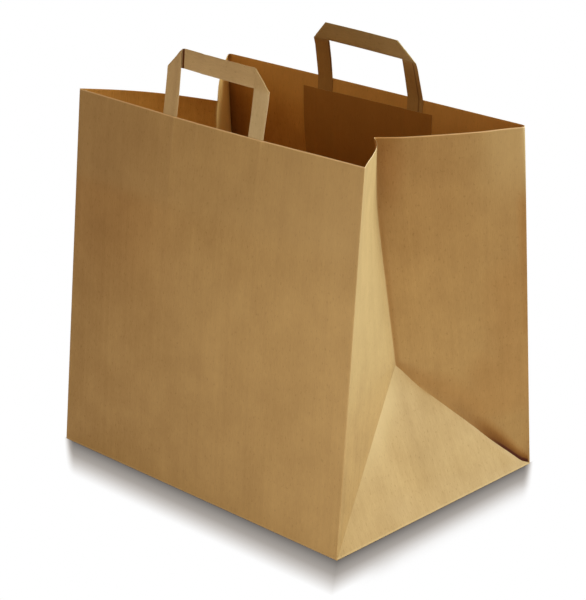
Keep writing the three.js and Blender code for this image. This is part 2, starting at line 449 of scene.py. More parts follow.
right_tip_made = gusset(1, np.array([half_gusset]), np.array([half_gusset]))
print("tip of the right gusset", right_tip_made.round(4).tolist())


# %% [markdown]
# ## Rounded folds
#
# Paper cannot turn a sharp corner: a fold has a small radius, larger where nothing presses it flat.
# Between two points at a distance r from the fold, a curve of second order replaces the corner. The fold
# at the back right is open near the rim, and the others are tighter.

# %% The sheet with sharp folds
right_start = panel_width
back_start = panel_width + gusset_depth
left_start = 2 * panel_width + gusset_depth
front_out = np.array([0.0, -0.996, 0.09])
back_out = np.array([0.0, 0.993, 0.12])

# Wrinkles of the front panel below its rim: place from the middle, reach down, height.
front_wrinkles = [
    (-41 * MM, 62 * MM, 0.60 * MM),
    (-14 * MM, 36 * MM, 0.50 * MM),
    (34 * MM, 30 * MM, 0.40 * MM),
    (56 * MM, 38 * MM, 0.40 * MM),
]
front_form = dict(
    swell=3.0 * MM, bend=1.8 * MM, rim_bow=2.0 * MM, rim_sag=1.1 * MM, wrinkles=front_wrinkles)
back_form = dict(swell=2.0 * MM, bend=-6.0 * MM, rim_bow=0.9 * MM, rim_sag=0.0, wrinkles=[])


def flat_to_space(u, v):
    """The map of the sheet with sharp folds: each stretch of u belongs to one panel."""
    u = np.mod(u, girth)
    front = wide_panel(u, v, front_left, front_right, front_out, **front_form)
    right = gusset(1, u - right_start, v)
    back = wide_panel(u - back_start, v, back_right, back_left, back_out, **back_form)
    left = gusset(-1, girth - u, v)
    past = [(u < right_start)[..., None], (u < back_start)[..., None], (u < left_start)[..., None]]
    return np.where(past[0], front, np.where(past[1], right, np.where(past[2], back, left)))


print("panels start at", right_start, back_start, left_start, "m around the sheet")

# %% The whole sheet
# Upright folds: place around the sheet, radius low down, and what the radius gains at the rim.
fold_places = [
    (0.0, 1.2 * MM, 0.0),
    (right_start, 1.2 * MM, 0.0),
    (right_start + half_gusset, 1.0 * MM, 1.2 * MM),
    (back_start, 1.4 * MM, 7.8 * MM),
    (left_start, 1.4 * MM, 4.0 * MM),
    (left_start + half_gusset, 1.0 * MM, 1.2 * MM),
]
opening_reach = 45 * MM


def rounded(t, before, at, after):
    """Curve of second order in place of a corner: (1 - t)^2 before + 2 t (1 - t) at + t^2 after."""
    return (1 - t) ** 2 * before + 2 * t * (1 - t) * at + t**2 * after


def rounded_sheet(u, v):
    """Replaces each upright fold by a curve, with t over two radii around it."""
    point = flat_to_space(u, v)
    for place, tight, extra in fold_places:
        r = tight + extra * dying(panel_height - v, opening_reach)
        away = np.mod(u - place + girth / 2, girth) - girth / 2
        t = np.clip((away / r + 1) / 2, 0, 1)[..., None]
        at = flat_to_space(np.full_like(v, place), v)
        curve = rounded(t, flat_to_space(place - r, v), at, flat_to_space(place + r, v))
        point = np.where((np.abs(away) < r)[..., None], curve, point)
    return point


spine_share = 0.99


def base_sheet(u, inset):
    """The base: each foot point moves straight to a spine along the middle, so rings of it shrink to a
    line. All foot points of one gusset meet in an end of the spine."""
    foot = flat_to_space(u, np.zeros_like(u))
    spine_end = spine_share * (panel_width - gusset_depth) / 2
    spine_x = np.clip(foot[..., 0] * (panel_width - gusset_depth) / panel_width, -spine_end, spine_end)
    spine = np.stack([spine_x, np.zeros_like(u), np.full_like(u, base_level)], axis=-1)
    return foot + (spine - foot) * (inset / half_gusset)[..., None]


base_fold = 0.9 * MM


def bag_point(u, w):
    """Walls for w above 0, base for w below 0, and a rounded fold between them."""
    wall = rounded_sheet(u, np.clip(w, 0, None))
    base = base_sheet(u, np.clip(-w, 0, None))
    t = np.clip((w / base_fold + 1) / 2, 0, 1)[..., None]
    edge = flat_to_space(u, np.zeros_like(u))
    level = np.full_like(u, base_fold)
    curve = rounded(t, base_sheet(u, level), edge, rounded_sheet(u, level))
    straight = np.where((w > 0)[..., None], wall, base)
    return np.where((np.abs(w) < base_fold)[..., None], curve, straight)


print("upright folds", len(fold_places))

# %% [markdown]
# ## The grid
#
# The map is sampled on a grid that is dense at the folds and at the edges of the handle legs, and coarse
# between. In a gusset the rows near the base have the same spacing as the columns, so that the 45 degree
# folds run exactly through the corners of the grid's cells, and the cells there are split along the fold.

# %% Grid lines
edge_steps = np.array([0, 0.3, 0.6, 0.9, 1.3, 2.0, 3.2, 5, 7.5, 11]) * MM
fold_margin = 15 * MM
half_lines = np.concatenate([
    edge_steps,
    np.linspace(fold_margin, half_gusset - fold_margin, 23),
    half_gusset - edge_steps[::-1],
])
leg_edges = np.array([-1, 1])[:, None] * leg_centre + np.array([-1, 1]) * strip_width / 2
leg_lines = (panel_width / 2 + leg_edges.ravel()[:, None] + np.array([-1.6, -0.5, 0.5, 1.6]) * MM).ravel()
wide_middle = np.linspace(fold_margin, panel_width - fold_margin, 121)
closest_lines = 1.0 * MM
clear = np.abs(wide_middle[:, None] - leg_lines[None, :]).min(axis=1) > closest_lines
wide_lines = np.sort(np.concatenate([
    edge_steps, wide_middle[clear], leg_lines, panel_width - edge_steps[::-1],
]))
gusset_lines = np.concatenate([half_lines, gusset_depth - half_lines[::-1][1:]])
columns = np.concatenate([
    wide_lines[:-1],
    right_start + gusset_lines[:-1],
    back_start + wide_lines[:-1],
    left_start + gusset_lines,
])
upper_rows = np.concatenate([
    np.linspace(half_gusset + 4 * MM, panel_height - 6 * MM, 38),
    panel_height - np.array([3.5, 1.8, 0.8, 0]) * MM,
])
base_rows = -np.array([120, 90, 60, 30, 12, 4, 1.8, 0.9, 0.6, 0.3]) * MM
rows = np.concatenate([base_rows, half_lines, upper_rows])
print("grid", len(rows), "rows by", len(columns), "columns")


# %% [markdown]
# ## From grids to a mesh
#
# A small helper turns any grid of points into faces. Each face corner keeps its place on the flat paper
# as a UV, in metres, so that fibres and streaks follow the sheet over every fold. Several grids can share
# one mesh, because the flaps under the base and the lap seam belong to the same sheet of paper.

# %% Mesh helpers
def grid_faces(row_count, column_count):
    """Quads of a grid whose points are numbered row by row, turning to the left seen from outside."""
    r, c = np.meshgrid(np.arange(row_count - 1), np.arange(column_count - 1), indexing="ij")
    first = (r * column_count + c).ravel()
    return np.stack([first, first + 1, first + column_count + 1, first + column_count], axis=1)


def build_mesh(name, points, faces, paper_uv):
    """One mesh from point, face and UV arrays. Faces are lists of corner numbers, and UVs belong to
    points."""
    mesh = bpy.data.meshes.new(name)
    mesh.from_pydata(points.tolist(), [], faces)
    corner_points = np.empty(len(mesh.loops), dtype=np.int32)
    mesh.loops.foreach_get("vertex_index", corner_points)
    layer = mesh.uv_layers.new(name="paper")
    layer.data.foreach_set("uv", paper_uv[corner_points].astype(np.float32).ravel())
    return mesh


weld_distance = 1e-6


def weld(mesh):
    """Joins points that lie together, such as those on both sides of the flat sheet's own edge."""
    work = bmesh.new()
    work.from_mesh(mesh)
    bmesh.ops.remove_doubles(work, verts=work.verts, dist=weld_distance)
    bmesh.ops.dissolve_degenerate(work, edges=work.edges, dist=weld_distance / 10)
    work.to_mesh(mesh)
    work.free()


sheet_smooth = math.radians(22)


def add_piece(name, mesh, thickness, inner_paper=0, smooth_to=sheet_smooth):
    """An object at the origin whose sheet gets its thickness, an inner face and cut edges on the inner
    side."""
    mesh.shade_smooth()
    mesh.set_sharp_from_angle(angle=smooth_to)
    piece = bpy.data.objects.new(name, mesh)
    bpy.context.scene.collection.objects.link(piece)
    if thickness:
        wall = piece.modifiers.new("paper thickness", "SOLIDIFY")
        wall.thickness = thickness
        wall.offset = -1
        wall.use_even_offset = False
        wall.material_offset = inner_paper
        wall.material_offset_rim = inner_paper + 1
    return piece


# %% [markdown]
# ## Body of the bag
#
# The wall and the base come from the big grid. Under the base lie the two flaps of the block bottom, the
# back one glued over the front one, and up the back panel runs the lap seam of the tube. Both are thin
# sheets of the same paper that lie on the first one.

# %% Wall and base
sheet_u, sheet_w = np.meshgrid(columns, rows)
sheet_points = bag_point(sheet_u, sheet_w)
quads = grid_faces(len(rows), len(columns))
quad_u = sheet_u.ravel()[quads[:, [0, 2]]].mean(axis=1)
in_right_near = (quad_u > right_start) & (quad_u < right_start + half_gusset)
in_left_far = (quad_u > left_start) & (quad_u < left_start + half_gusset)
in_right_far = (quad_u > right_start + half_gusset) & (quad_u < back_start)
in_left_near = quad_u > left_start + half_gusset
rising = in_right_near | in_left_far
falling = in_right_far | in_left_near
faces = np.concatenate([
    quads[rising][:, [0, 1, 2]], quads[rising][:, [0, 2, 3]],
    quads[falling][:, [0, 1, 3]], quads[falling][:, [1, 2, 3]],
]).tolist()
faces += quads[~(rising | falling)].tolist()
print("wall and base", len(faces), "faces")

# %% Flaps and lap seam
flap_overlap = 30 * MM
flap_reach = half_gusset + flap_overlap / 2
flap_y, flap_x = np.meshgrid(np.linspace(0.3 * MM, flap_reach, 12), np.linspace(-1, 1, 24), indexing="ij")
flap_half = panel_width / 2 - flap_y
front_flap = np.stack([flap_x * flap_half, flap_y - half_gusset, np.full_like(flap_x, paper)], axis=-1)
back_flap = np.stack([-flap_x * flap_half, half_gusset - flap_y, np.zeros_like(flap_x)], axis=-1)
flap_quads = grid_faces(*flap_x.shape)[:, ::-1]

seam_inset = 30 * MM
seam_width = 20 * MM
seam_rows = np.concatenate([[0.8 * MM], upper_rows[::3], np.linspace(6 * MM, half_gusset, 18)])
seam_u, seam_v = np.meshgrid(back_start + seam_inset + np.linspace(0, seam_width, 7), np.sort(seam_rows))
seam_points = flat_to_space(seam_u, seam_v) + back_out * paper
seam_quads = grid_faces(*seam_u.shape)
print("flaps overlap by", flap_overlap, "m, seam", seam_width, "m wide")

# %% One mesh of the body
# The base and the flaps have their own places on the paper, metres away from those of the wall.
base_from = -3 * MM
base_away = np.array([5.0, -5.0])
front_flap_away = 2.0
back_flap_away = 3.0
wall_place = np.stack([sheet_u, sheet_w], axis=-1)
base_place = sheet_points[..., :2] + base_away
parts = [
    (sheet_points, np.where((sheet_w < base_from)[..., None], base_place, wall_place)),
    (front_flap, front_flap[..., :2] + front_flap_away),
    (back_flap, back_flap[..., :2] + back_flap_away),
    (seam_points, np.stack([seam_u, seam_v], axis=-1)),
]
offsets = np.cumsum([0] + [points[..., 0].size for points, _ in parts])
faces += (flap_quads + offsets[1]).tolist() + (flap_quads + offsets[2]).tolist()
faces += (seam_quads + offsets[3]).tolist()
body_mesh = build_mesh(
    "bag_sheet",
    np.concatenate([points.reshape(-1, 3) for points, _ in parts]),
    faces,
    np.concatenate([uv.reshape(-1, 2) for _, uv in parts]),
)
weld(body_mesh)
body = add_piece("bag_sheet", body_mesh, paper, inner_paper=1)
print("body", len(body_mesh.polygons), "faces before thickness")

# %% [markdown]
# ## Handles
#
# A handle is one strip of several glued layers. It turns a corner by being folded over itself at 45
# degrees, as a ribbon is, so the grip lies behind the legs and the outer corner is cut off. The strip
# could be extruded in three pieces, but a ribbon map is truer: unfolded, a point has a length s along the
# strip and a place t across it, and each fold mirrors what lies beyond it, with a small turn around the
# fold's edge.

# %% Ribbon map
handle_height = 53 * MM
strip_thickness = 0.6 * MM
fold_at = handle_height - strip_width / 2
strip_middle = fold_at + leg_centre
strip_end = 2 * strip_middle + leg_drop


def strip_length(sigma, t):
    """Length along the strip from the rim, folded back at its middle. Near the folds, lines of one sigma
    run along them."""
    along = np.minimum(sigma, 2 * strip_middle - sigma)
    lean = np.interp(along, [fold_at - strip_width, fold_at, strip_middle], [0, 1, 0])
    return along + lean * t


def ribbon(sigma, t, first_radius, second_radius):
    """Middle surface of the strip in the plane of its panel: x along the rim, y into the bag, z up. With
    d the distance past the 45 degree fold, the mirrored part lies at -sqrt(d^2 + r^2) from the fold line
    and at a depth r (1 + d / sqrt(d^2 + r^2)), so it swings round the fold's edge by two radii."""
    mirrored = sigma > strip_middle
    s = strip_length(sigma, t)
    radius = np.where(mirrored, second_radius, first_radius)
    middle_radius = (first_radius + second_radius) / 2
    x = -leg_centre + t
    d = (s - fold_at - t) / math.sqrt(2)
    radius = radius + (middle_radius - radius) * np.clip(d / (strip_middle - fold_at) * math.sqrt(2), 0, 1)
    root = np.sqrt(d**2 + radius**2)
    fold_x = x + d / math.sqrt(2)
    fold_z = s - d / math.sqrt(2)
    x = fold_x + root / math.sqrt(2)
    z = fold_z - root / math.sqrt(2)
    y = radius * (1 + d / root)
    return np.where(mirrored, -x, x), y, z


def strip_section():
    """Closed outline of the strip across t and its own normal: rounded edges and one lapped layer."""
    half = strip_width / 2
    thick = strip_thickness / 2
    soft = 0.15 * MM
    lap = -half + 3.0 * MM
    back = np.linspace(-half + soft, half - soft, 9)
    face = np.linspace(half - soft, lap + soft, 8)
    across = np.concatenate([[-half], back, [half, half], face, [lap, -half + soft, -half]])
    depth = np.concatenate([
        [-0.5 * thick], np.full(9, -thick), [-0.5 * thick, 0.5 * thick], np.full(8, thick),
        [0.5 * thick, 0.5 * thick, 0.2 * thick]])
    return across, depth


print("unfolded strip", round(strip_end + leg_drop, 4), "m long")


# %% [markdown]
# ## Placing paper on a panel
#
# The legs and the patches lie on the inner face of a panel that is itself a little swollen, so they are
# placed through the panel's own map. Above the rim the handle goes on along the panel's slope and leans
# into the bag.

# %% Panel places
slope_step = 20 * MM


def on_panel(panel, x, y, z):
    """Panel place of a point that is x along the rim, y in from the outer face and z above the rim."""
    start, direction, outward = panel
    u = start + direction * x
    rim = np.full_like(u, panel_height)
    slope = (flat_to_space(u, rim) - flat_to_space(u, rim - slope_step)) / slope_step
    below = flat_to_space(u, panel_height + np.minimum(z, 0))
    return below + slope * np.maximum(z, 0)[..., None] - outward * y[..., None]


front_panel = (panel_width / 2, 1, front_out)
back_panel = (back_start + panel_width / 2, -1, back_out)


def soft_positive(x, width):
    """x where it is well above 0, and 0 well below, with a soft bend between: (x + sqrt(x^2 + width^2)) /
    2."""
    return (x + np.sqrt(x**2 + width**2)) / 2


leg_glue = 0.05 * MM
rim_bend = 5 * MM
toe_bend = 3 * MM
roll_from = 30 * MM


def handle_points(panel, sigma, t, shift, rise, tilt, skew, narrow, turn, tall, radii, toe, roll):
    """The ribbon on its panel, with the small faults of a handle that was glued by machine and pulled up.
    It bends at the rim and then leans in by its tilt."""
    x, y, z = ribbon(sigma, t, *radii)
    above = np.clip(z / handle_height, 0, 1)
    half_up = np.clip(above * 2, 0, 1)
    place_x = x * (1 - narrow * above) + shift + skew * above
    place_z = np.where(z > 0, z * tall, z) + (rise + turn * x) * half_up
    place_y = y + paper + leg_glue + strip_thickness / 2 + math.tan(tilt) * soft_positive(z, rim_bend)
    outside = np.abs(x) - leg_centre + strip_width / 2
    place_y = place_y + toe * soft_positive(outside, toe_bend) * above
    place_y = place_y + roll * np.clip(z - roll_from, 0, None)
    return on_panel(panel, place_x, place_y, place_z)


# %% Handle strips
beside_fold = np.array([-12, -10, -9, -8, -6.5, 6.5, 7.6, 8.2, 8.8, 9.4, 10, 12]) * MM
at_fold = np.linspace(-4, 4, 17) * MM
stations = np.unique(np.concatenate([
    np.linspace(-leg_drop, -6 * MM, 12),
    np.linspace(-5 * MM, 5 * MM, 9),
    [8 * MM, 14 * MM, 20 * MM],
    fold_at + at_fold,
    fold_at + beside_fold,
    np.linspace(fold_at + 16 * MM, strip_middle, 10),
]))
strip_smooth = math.radians(35)
normal_step = 0.05 * MM


def make_handle(name, panel, **faults):
    """Carries the strip's outline along the ribbon and closes both ends. Its UV is the place on the
    unfolded strip."""
    sigma = np.concatenate([stations, 2 * strip_middle - stations[::-1][1:]])
    across, depth = strip_section()
    s_grid, t_grid = np.meshgrid(sigma, across, indexing="ij")

    def moved(by_s, by_t):
        return handle_points(panel, s_grid + by_s, t_grid + by_t, **faults)

    along = moved(normal_step, 0.0) - moved(-normal_step, 0.0)
    wide = moved(0.0, normal_step) - moved(0.0, -normal_step)
    normal = np.cross(wide, along)
    normal = normal / np.linalg.norm(normal, axis=-1, keepdims=True)
    points = moved(0.0, 0.0) - normal * depth[None, :, None]
    ring = np.concatenate([points, points[:, :1]], axis=1)
    length = strip_length(s_grid, t_grid)
    length = np.where(s_grid > strip_middle, 2 * strip_middle - length, length)
    uv = np.stack([t_grid, length], axis=-1)
    uv = np.concatenate([uv, uv[:, :1]], axis=1)
    count = ring.shape[1]
    first = np.arange(count - 1)
    caps = [first[::-1].tolist(), (first + (ring.shape[0] - 1) * count).tolist()]
    strip_faces = grid_faces(*ring.shape[:2]).tolist() + caps
    mesh = build_mesh(name, ring.reshape(-1, 3), strip_faces, uv.reshape(-1, 2))
    weld(mesh)
    return add_piece(name, mesh, 0.0, smooth_to=strip_smooth)


front_leg_shift = 1.5 * MM
rear_leg_shift = 0.4 * MM
front_handle = make_handle(
    "front_handle_strip", front_panel, shift=front_leg_shift, rise=1.2 * MM, tilt=math.radians(1.2),
    skew=0.55 * MM, narrow=-0.028, turn=math.radians(-1.06), tall=0.984, radii=(0.85 * MM, 0.4 * MM),
    toe=0.04, roll=-0.095)
rear_handle = make_handle(
    "rear_handle_strip", back_panel, shift=rear_leg_shift, rise=-4.6 * MM, tilt=math.radians(3.4),
    skew=-5.2 * MM, narrow=0.049, turn=math.radians(-1.22), tall=0.995, radii=(0.45 * MM, 0.45 * MM),
    toe=0.138, roll=0.174)
print("handles", len(front_handle.data.polygons), "faces each")

# %% [markdown]
# ## Patches
#
# A rectangle of paper is glued over the legs of each handle. It lies on the panel and climbs over the two
# legs, so its height is a pair of soft steps. The front patch is hidden in the photograph's view and has
# the same shape as the rear one.

# %% Patch sheets
patch_half = 69.0 * MM
patch_drop = 11 * MM
patch_foot = leg_drop + 10 * MM
patch_glue = 0.08 * MM
patch_cockle = 0.03 * MM
patch_clear = 0.05 * MM
leg_glue_over = 0.1 * MM
leg_margin = 3.0 * MM
foot_lift = 0.1 * MM
foot_lift_reach = 6 * MM
patch_away = 0.5


def patch_lines(start, end, count):
    """Grid lines from start to end, closer together beside both cut edges."""
    border = np.array([0.0, 0.2, 0.5]) * MM
    margin = 1.5 * MM
    between = np.linspace(start + margin, end - margin, count)
    return np.concatenate([start + border, between, end - border[::-1]])


def make_patch(name, panel, shift, leg_shift, turn):
    """Height over the panel: one glue line, plus the strip's thickness on two soft plateaus above the
    legs."""
    x, z = np.meshgrid(patch_lines(-patch_half, patch_half, 111), patch_lines(-patch_foot, -patch_drop, 40))
    over_leg = plateau(np.abs(x + shift - leg_shift) - leg_centre, strip_width / 2 + leg_margin, 1.8 * MM)
    over_leg = over_leg * plateau(z, leg_drop + leg_margin, 2.0 * MM)
    lift = foot_lift * dying(z + patch_foot, foot_lift_reach)
    y = paper + patch_glue + (strip_thickness + leg_glue_over) * over_leg + lift
    y = y + cockle(x, z, patch_cockle) + patch_clear
    middle = -(patch_drop + patch_foot) / 2
    points = on_panel(panel, x + shift - (z - middle) * turn, y, z + x * turn)
    uv = np.stack([x, z], axis=-1) + patch_away
    patch_faces = grid_faces(*x.shape)[:, ::-1].tolist()
    mesh = build_mesh(name, points.reshape(-1, 3), patch_faces, uv.reshape(-1, 2))
    return add_piece(name, mesh, paper)


front_patch = make_patch("front_patch_sheet", front_panel, 0.0, front_leg_shift, 0.0)
rear_patch = make_patch("rear_patch_sheet", back_panel, -2.4 * MM, rear_leg_shift, math.radians(0.6))
print("patches", len(rear_patch.data.polygons), "faces each")


# %% [markdown]
# ## Kraft paper
#
# Kraft paper is brown because its pulp is not bleached. Seen close it has long fibres along the web, soft
# streaks from the paper machine, clouds where the pulp lies thicker, and a few dark flecks of bark. One
# node group makes all of them from the flat paper's own coordinates, and every paper of the bag uses it
# with its own colours. Nodes can be wired one by one, but marks that are worked out from lengths on the
# paper read better as sums and products, so a small class turns those into nodes.

# %% Values in a node tree
column_size = 12
column_step, row_step = 200, -180


def new_node(tree, kind, **settings):
    """Adds a node, placed in columns in the order in which they are made. Settings name its
    properties."""
    column, row = divmod(len(tree.nodes), column_size)
    node = tree.nodes.new(kind)
    node.location = (column * column_step, row * row_step)
    for key, value in settings.items():
        setattr(node, key, value)
    return node


class Wire:
    """A value that runs through a node tree. Sums, products and fades of wires add the nodes for them."""

    def __init__(self, tree, socket):
        self.tree = tree
        self.socket = socket

    def into(self, slot):
        """Links the value to an input of a node."""
        self.tree.links.new(self.socket, slot)

    def maths(self, operation, *values):
        """One math node. Each of its values is a number or a wire."""
        node = new_node(self.tree, "ShaderNodeMath", operation=operation)
        for slot, value in zip(node.inputs, values):
            if isinstance(value, Wire):
                value.into(slot)
            else:
                slot.default_value = value
        return Wire(self.tree, node.outputs[0])

    def __add__(self, other):
        return self.maths("ADD", self, other)

    def __sub__(self, other):
        return self.maths("SUBTRACT", self, other)

    def __rsub__(self, other):
        return self.maths("SUBTRACT", other, self)

    def __mul__(self, other):
        return self.maths("MULTIPLY", self, other)

    def __truediv__(self, other):
        return self.maths("DIVIDE", self, other)

    def larger(self, *others):
        """The largest of this value and the others."""
        largest = self
        for other in others:
            largest = self.maths("MAXIMUM", largest, other)
        return largest

    def above(self, level):
        """1 where the value is over a level, and 0 elsewhere."""
        return self.maths("GREATER_THAN", self, level)

    def below(self, level):
        """1 where the value is under a level, and 0 elsewhere."""
        return self.maths("LESS_THAN", self, level)

    def away(self, middle):
        """The distance of the value from a middle."""
        return self.maths("ABSOLUTE", self - middle)

    def fade(self, start, end, first=1.0, last=0.0, curve="SMOOTHSTEP"):
        """Goes from first to last while the value goes from start to end."""
        node = new_node(self.tree, "ShaderNodeMapRange", interpolation_type=curve)
        for key, number in [("From Min", start), ("From Max", end), ("To Min", first), ("To Max", last)]:
            node.inputs[key].default_value = number
        self.into(node.inputs["Value"])
        return Wire(self.tree, node.outputs["Result"])

    def rise(self, start, end, last=1.0):
        """Goes from 0 to last while the value goes from start to end."""
        return self.fade(start, end, 0.0, last)

    def clamped(self):
        """The value, kept between 0 and 1."""
        node = new_node(self.tree, "ShaderNodeClamp")
        self.into(node.inputs["Value"])
        return Wire(self.tree, node.outputs["Result"])


def parted(tree, vector):
    """X and Y of a vector, as two wires."""
    node = new_node(tree, "ShaderNodeSeparateXYZ")
    tree.links.new(vector, node.inputs["Vector"])
    return Wire(tree, node.outputs["X"]), Wire(tree, node.outputs["Y"])


def paper_group(name, marks):
    """A node group that takes a place on the flat paper, in metres, and puts out a value for each
    mark."""
    group = bpy.data.node_groups.new(name, "ShaderNodeTree")
    group.interface.new_socket("Paper", in_out="INPUT", socket_type="NodeSocketVector")
    for mark in marks:
        group.interface.new_socket(mark, in_out="OUTPUT", socket_type="NodeSocketFloat")
    entry = new_node(group, "NodeGroupInput")
    leave = new_node(group, "NodeGroupOutput")
    return group, entry.outputs["Paper"], leave.inputs


# %% Kraft fibre group
# Layers of the pulp: fibres, streaks, clouds, grit and wide drifts. Each has its grains per metre across
# and along the web, the detail and roughness of its noise, and its weights in the tone and in the relief.
pulp_layers = [
    (1300, 170, 3.0, 0.60, 0.45, 0.5),
    (230, 6, 3.0, 0.55, 0.24, 1.2),
    (42, 34, 3.0, 0.55, 0.46, 1.5),
    (2600, 2200, 2.0, 0.60, 0.25, 0.2),
    (13, 9, 2.0, 0.50, 0.38, 0.0),
]
bark_flecks = (520, 300, 1.0, 0.4)
fleck_from, fleck_to = 0.70, 0.78
middle_tone, fleck_tone = 0.5, 0.25


def stretched_noise(tree, place, across, along, detail, roughness):
    """Noise on flat paper with its own count of grains per metre across and along the web."""
    mapping = new_node(tree, "ShaderNodeMapping")
    mapping.inputs["Scale"].default_value = (across, along, 1.0)
    noise = new_node(tree, "ShaderNodeTexNoise", noise_dimensions="2D")
    noise.inputs["Scale"].default_value = 1.0
    noise.inputs["Detail"].default_value = detail
    noise.inputs["Roughness"].default_value = roughness
    tree.links.new(place, mapping.inputs["Vector"])
    tree.links.new(mapping.outputs["Vector"], noise.inputs["Vector"])
    return Wire(tree, noise.outputs["Fac"])


def kraft_fibre_group():
    """Tone from 0 (dark) to 1 (light) and relief of kraft paper. Each layer adds weight * (noise - 0.5),
    and the flecks of bark lower the tone that the layers start from."""
    group, place, leave = paper_group("kraft fibre", ["Tone", "Relief"])
    flecks = stretched_noise(group, place, *bark_flecks)
    tone = flecks.fade(fleck_from, fleck_to, middle_tone, fleck_tone, curve="LINEAR")
    relief = None
    for *grain, tone_weight, relief_weight in pulp_layers:
        layer = stretched_noise(group, place, *grain) - 0.5
        tone = tone + layer * tone_weight
        relief = relief + layer * relief_weight if relief else layer * relief_weight
    tone.clamped().into(leave["Tone"])
    relief.into(leave["Relief"])
    return group


fibre_group = kraft_fibre_group()
print("kraft fibre group", len(fibre_group.nodes), "nodes")


# %% [markdown]
# ## Marks of the folds
#
# Where the sheet is folded its fibres are rubbed a little lighter. Most other marks here are painted light
# and painted shade: a painted highlight along the cut rim, a painted sheen on the base triangle, lighter
# paper where light falls on the gusset and the front panel, painted shade in the deep fold above the base
# triangle, near the foot of the far half, where hardly any light gets in, and painted warm shade where paper
# is lit by other paper. Each of them follows a fold or a panel, so all are worked out from the flat paper:
# with t the distance from the crease, 120 mm - t is the distance from the corner fold, and a point is on the
# 45 degree fold where that equals its height.

# %% Places on the flat sheet
crease_at = panel_width + half_gusset
slit_growth = 0.28
slit_width = 9 * MM


def sheet_places(group, place):
    """Where a point lies on the flat sheet: around and up it, its distances from the nearest crease,
    corner fold and 45 degree fold and from the rim, and masks of the panels."""
    around, up = parted(group, place)
    period = panel_width + gusset_depth
    turned = around - (crease_at - period / 2)
    turned = turned.maths("FLOORED_MODULO", turned, period)
    at = SimpleNamespace(around=around, up=up, below_rim=panel_height - up)
    at.from_crease = turned.away(period / 2)
    at.from_corner = half_gusset - at.from_crease
    at.over_fold = (up - at.from_corner) * math.sqrt(0.5)
    at.on_front = around.below(panel_width)
    at.past_front = around.above(panel_width)
    at.front_left = around.fade(60 * MM, 170 * MM) * at.on_front
    at.in_stiff_zone = up.rise(stiff_from - 16 * MM, stiff_from + 10 * MM)
    past_crease = around.above(crease_at)
    above_fold = at.over_fold.above(0.0) * around.below(crease_at + half_gusset)
    at.near_half = above_fold * at.past_front * (1.0 - past_crease)
    at.far_half = above_fold * past_crease
    at.lit_edge = up.rise(215 * MM, 290 * MM) * at.far_half
    at.in_slit = at.from_corner.fade(28 * MM, 98 * MM) * at.from_corner.rise(0.5 * MM, 3 * MM)
    at.in_slit_width = at.over_fold / (at.from_corner * slit_growth + slit_width)
    return at


# %% Rubbed fibres and painted light
# Strengths: corner, foot and slant are rubbed fibres. triangle is painted sheen, near_half and lit_edge are
# painted light on the gusset, low_front, right_front and stiff_zone are painted light on the front panel,
# and wrinkle is painted highlights on its wrinkles.
rubbed_and_lit = dict(corner=0.30, foot=0.45, slant=0.10, triangle=0.85, near_half=0.25, lit_edge=0.50,
            low_front=0.13, right_front=0.18, stiff_zone=0.15, wrinkle=0.28)
wrinkle_mark = 3.4 * MM


def rubbed_and_lit_mark(at):
    """Rubbed fibres along the corner folds, the foot and the 45 degree folds, and painted light: a painted
    sheen on the triangle beside its near fold, painted light on the lit parts of the gusset and on the front
    panel, and painted highlights along the front panel's wrinkles. The strongest one shows."""
    corner_line = at.from_corner.away(0.0).fade(0.0, 1.0 * MM, rubbed_and_lit["corner"])
    foot_line = at.up.away(1.0 * MM).fade(0.0, 1.6 * MM, rubbed_and_lit["foot"])
    slant_line = at.over_fold.away(0.0).fade(0.0, 0.9 * MM, rubbed_and_lit["slant"]) * at.from_corner.above(0.0)
    under_fold = at.over_fold * -1.0
    triangle = under_fold.fade(0.0, 26 * MM, rubbed_and_lit["triangle"]) * at.up.fade(28 * MM, 95 * MM, 0.05, 1.0)
    triangle = triangle * at.around.fade(crease_at - 45 * MM, crease_at + 34 * MM)
    triangle = triangle * under_fold.above(0.0) * at.past_front
    near_half = at.up.rise(70 * MM, 200 * MM, rubbed_and_lit["near_half"]) * at.near_half
    lit_edge = at.lit_edge * at.from_corner.fade(0.0, 62 * MM, rubbed_and_lit["lit_edge"])
    low_front = at.around.rise(40 * MM, 150 * MM, rubbed_and_lit["low_front"]) * at.up.fade(170 * MM, 230 * MM)
    right_front = at.around.rise(150 * MM, 300 * MM, rubbed_and_lit["right_front"])
    front = (low_front.larger(right_front) + at.in_stiff_zone * rubbed_and_lit["stiff_zone"]) * at.on_front
    wrinkles = []
    for place, reach, _ in front_wrinkles:
        ridge = at.around.away(panel_width / 2 + place).fade(0.0, wrinkle_mark, rubbed_and_lit["wrinkle"])
        wrinkles.append(ridge * at.below_rim.fade(5 * MM, reach))
    return corner_line.larger(foot_line, slant_line, triangle, near_half, lit_edge, front, *wrinkles)


# %% Shade
# Painted shade of the front panel's stiff zone, over all of it and more at its left.
front_shade, front_left_shade = 0.045, 0.08


def shade_mark(at):
    """Painted shade where light is kept out of the deep fold: a dark core at its bottom, and half dark over
    a width that grows away from the corner. The stiff zone of the front panel gets a little painted shade
    too, most at its left."""
    core = at.over_fold.fade(1.2 * MM, 3.8 * MM) * at.from_corner.fade(20 * MM, 58 * MM, last=0.15)
    half_dark = at.in_slit_width.fade(0.0, 0.6) * at.from_corner.fade(18 * MM, 60 * MM, 0.73, 0.34)
    fold = core.larger(half_dark) * at.in_slit * at.far_half
    front = (at.front_left * front_left_shade + front_shade) * (at.in_stiff_zone * at.on_front)
    return fold.larger(front)


# %% Painted warm shade
# Strengths of painted warm shade, place by place.
warm_shade = dict(fold=0.37, edge=0.34, low_edge=0.34, edge_strip=0.44, crease=0.38, high_crease=0.50,
              far_half=0.165, near_foot=0.17, front=0.24, stiff_zone=0.06)
fold_glow_from = 130 * MM
fold_glow_share = 0.58


